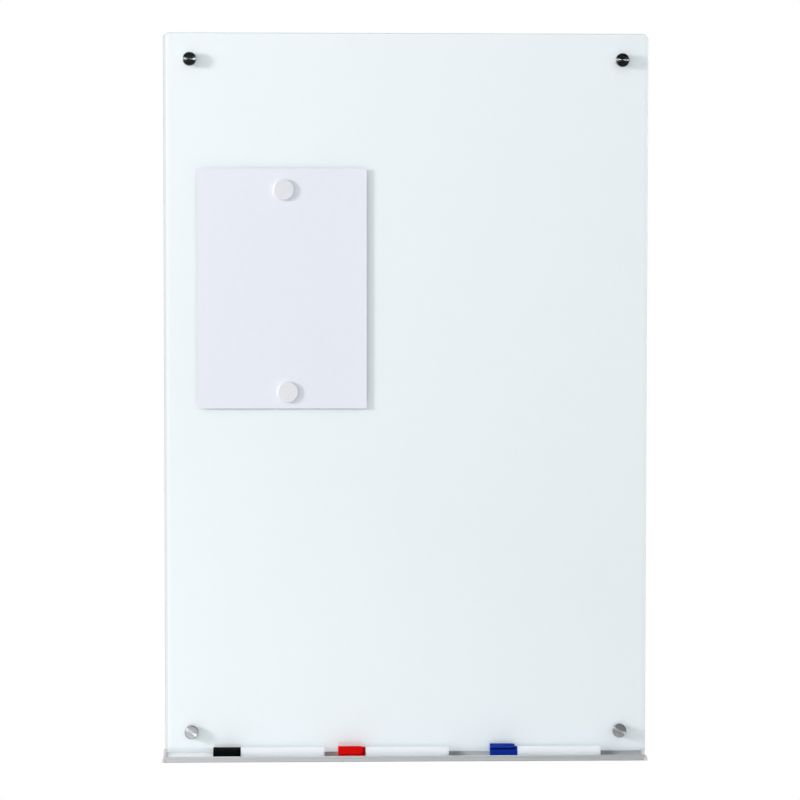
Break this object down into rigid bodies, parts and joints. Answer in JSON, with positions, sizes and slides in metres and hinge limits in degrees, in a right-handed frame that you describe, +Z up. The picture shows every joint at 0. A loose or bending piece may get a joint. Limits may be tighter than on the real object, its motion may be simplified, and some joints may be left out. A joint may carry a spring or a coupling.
{
  "type": "glass whiteboard",
  "caption": "Wall-mounted magnetic glass whiteboard on turned stand-off fixings, with a push-on pen tray, capped markers, and a paper sheet held by disc magnets.",
  "frame": {"origin": "on the wall plane, midway between the four stand-off fixings, which is also the centre of the glass seen from the front", "axes": "+Z up along the board, -Y out of the wall towards the viewer, +X to the viewer's right"},
  "size_m": [0.6019, 0.085, 0.9031],
  "materials": {
    "glass": "clear toughened glass with ground and polished edges",
    "white_coating": "white enamel on the back of the glass, seen through it",
    "zinc_steel": "zinc-coated sheet steel",
    "turned_steel": "lathe-turned steel with fine rings on its faces",
    "clear_plastic": "clear soft plastic",
    "screw_steel": "zinc-plated steel",
    "tray_aluminium": "satin anodised extruded aluminium",
    "grey_plastic": "moulded grey plastic",
    "white_plastic": "moulded white plastic, semi-gloss",
    "marker_black": "moulded black plastic",
    "marker_red": "moulded red plastic",
    "marker_blue": "moulded blue plastic",
    "felt": "ink felt",
    "nickel": "satin nickel plate",
    "magnet_alloy": "plated magnet alloy",
    "paper": "plain uncoated white writing paper"
  },
  "bodies": {
    "board": {"glass_panel": "glass", "back_coating": "white_coating", "steel_backing": "zinc_steel", "pen_tray": "tray_aluminium", "tray_liner": "grey_plastic", "tray_end_cap_left": "grey_plastic", "tray_end_cap_right": "grey_plastic", "wall_screw_upper_left": "screw_steel", "standoff_barrel_upper_left": "turned_steel", "rear_washer_upper_left": "clear_plastic", "glass_bush_upper_left": "clear_plastic", "wall_screw_upper_right": "screw_steel", "standoff_barrel_upper_right": "turned_steel", "rear_washer_upper_right": "clear_plastic", "glass_bush_upper_right": "clear_plastic", "wall_screw_lower_left": "screw_steel", "standoff_barrel_lower_left": "turned_steel", "rear_washer_lower_left": "clear_plastic", "glass_bush_lower_left": "clear_plastic", "wall_screw_lower_right": "screw_steel", "standoff_barrel_lower_right": "turned_steel", "rear_washer_lower_right": "clear_plastic", "glass_bush_lower_right": "clear_plastic"},
    "front_washer_upper_left": {"front_washer_upper_left": "clear_plastic"},
    "cap_upper_left": {"standoff_cap_upper_left": "turned_steel"},
    "front_washer_upper_right": {"front_washer_upper_right": "clear_plastic"},
    "cap_upper_right": {"standoff_cap_upper_right": "turned_steel"},
    "front_washer_lower_left": {"front_washer_lower_left": "clear_plastic"},
    "cap_lower_left": {"standoff_cap_lower_left": "turned_steel"},
    "front_washer_lower_right": {"front_washer_lower_right": "clear_plastic"},
    "cap_lower_right": {"standoff_cap_lower_right": "turned_steel"},
    "black_marker": {"black_marker_barrel": "white_plastic", "black_marker_nib": "felt", "black_marker_reservoir": "felt", "black_marker_end_plug": "white_plastic"},
    "black_marker_cap": {"black_marker_cap": "marker_black"},
    "red_marker": {"red_marker_barrel": "white_plastic", "red_marker_nib": "felt", "red_marker_reservoir": "felt", "red_marker_end_plug": "white_plastic"},
    "red_marker_cap": {"red_marker_cap": "marker_red"},
    "blue_marker": {"blue_marker_barrel": "white_plastic", "blue_marker_nib": "felt", "blue_marker_reservoir": "felt", "blue_marker_end_plug": "white_plastic"},
    "blue_marker_cap": {"blue_marker_cap": "marker_blue"},
    "note": {"note_sheet": "paper"},
    "upper_magnet": {"upper_magnet_housing": "nickel", "upper_magnet_disc": "magnet_alloy"},
    "lower_magnet": {"lower_magnet_housing": "nickel", "lower_magnet_disc": "magnet_alloy"}
  },
  "joints": [
    {"name": "cap_travel_upper_left", "type": "slide", "parent": "board", "child": "front_washer_upper_left", "axis": [0, -1, 0], "range_m": [0, 0.00901]},
    {"name": "cap_turn_upper_left", "type": "hinge", "parent": "front_washer_upper_left", "child": "cap_upper_left", "pos_m": [-0.267, -0.025, 0.417], "axis": [0, -1, 0], "range_deg": [0, 2592]},
    {"name": "cap_travel_upper_right", "type": "slide", "parent": "board", "child": "front_washer_upper_right", "axis": [0, -1, 0], "range_m": [0, 0.00901]},
    {"name": "cap_turn_upper_right", "type": "hinge", "parent": "front_washer_upper_right", "child": "cap_upper_right", "pos_m": [0.267, -0.025, 0.417], "axis": [0, -1, 0], "range_deg": [0, 2592]},
    {"name": "cap_travel_lower_left", "type": "slide", "parent": "board", "child": "front_washer_lower_left", "axis": [0, -1, 0], "range_m": [0, 0.00901]},
    {"name": "cap_turn_lower_left", "type": "hinge", "parent": "front_washer_lower_left", "child": "cap_lower_left", "pos_m": [-0.267, -0.025, -0.417], "axis": [0, -1, 0], "range_deg": [0, 2592]},
    {"name": "cap_travel_lower_right", "type": "slide", "parent": "board", "child": "front_washer_lower_right", "axis": [0, -1, 0], "range_m": [0, 0.00901]},
    {"name": "cap_turn_lower_right", "type": "hinge", "parent": "front_washer_lower_right", "child": "cap_lower_right", "pos_m": [0.267, -0.025, -0.417], "axis": [0, -1, 0], "range_deg": [0, 2592]},
    {"name": "black_marker_lift", "type": "slide", "parent": "board", "child": "black_marker", "axis": [0, 0, 1], "range_m": [0, 0.06]},
    {"name": "black_cap_pull", "type": "slide", "parent": "black_marker", "child": "black_marker_cap", "axis": [-1, 0, 0], "range_m": [0, 0.032]},
    {"name": "red_marker_lift", "type": "slide", "parent": "board", "child": "red_marker_cap", "axis": [0, 0, 1], "range_m": [0, 0.06]},
    {"name": "red_barrel_draw", "type": "slide", "parent": "red_marker_cap", "child": "red_marker", "axis": [1, 0, 0], "range_m": [0, 0.032]},
    {"name": "blue_marker_lift", "type": "slide", "parent": "board", "child": "blue_marker_cap", "axis": [0, 0, 1], "range_m": [0, 0.06]},
    {"name": "blue_barrel_draw", "type": "slide", "parent": "blue_marker_cap", "child": "blue_marker", "axis": [1, 0, 0], "range_m": [0, 0.032]},
    {"name": "note_slide", "type": "slide", "parent": "board", "child": "note", "axis": [1, 0, 0], "range_m": [-0.035, 0.33]},
    {"name": "upper_magnet_pull", "type": "slide", "parent": "note", "child": "upper_magnet", "axis": [0, -1, 0], "range_m": [0, 0.08]},
    {"name": "lower_magnet_pull", "type": "slide", "parent": "note", "child": "lower_magnet", "axis": [0, -1, 0], "range_m": [0, 0.08]}
  ],
  "couplings": [
    {"joint": "cap_travel_upper_left", "follows": "cap_turn_upper_left", "m_per_rad": 0.00019894},
    {"joint": "cap_travel_upper_right", "follows": "cap_turn_upper_right", "m_per_rad": 0.00019894},
    {"joint": "cap_travel_lower_left", "follows": "cap_turn_lower_left", "m_per_rad": 0.00019894},
    {"joint": "cap_travel_lower_right", "follows": "cap_turn_lower_right", "m_per_rad": 0.00019894}
  ]
}
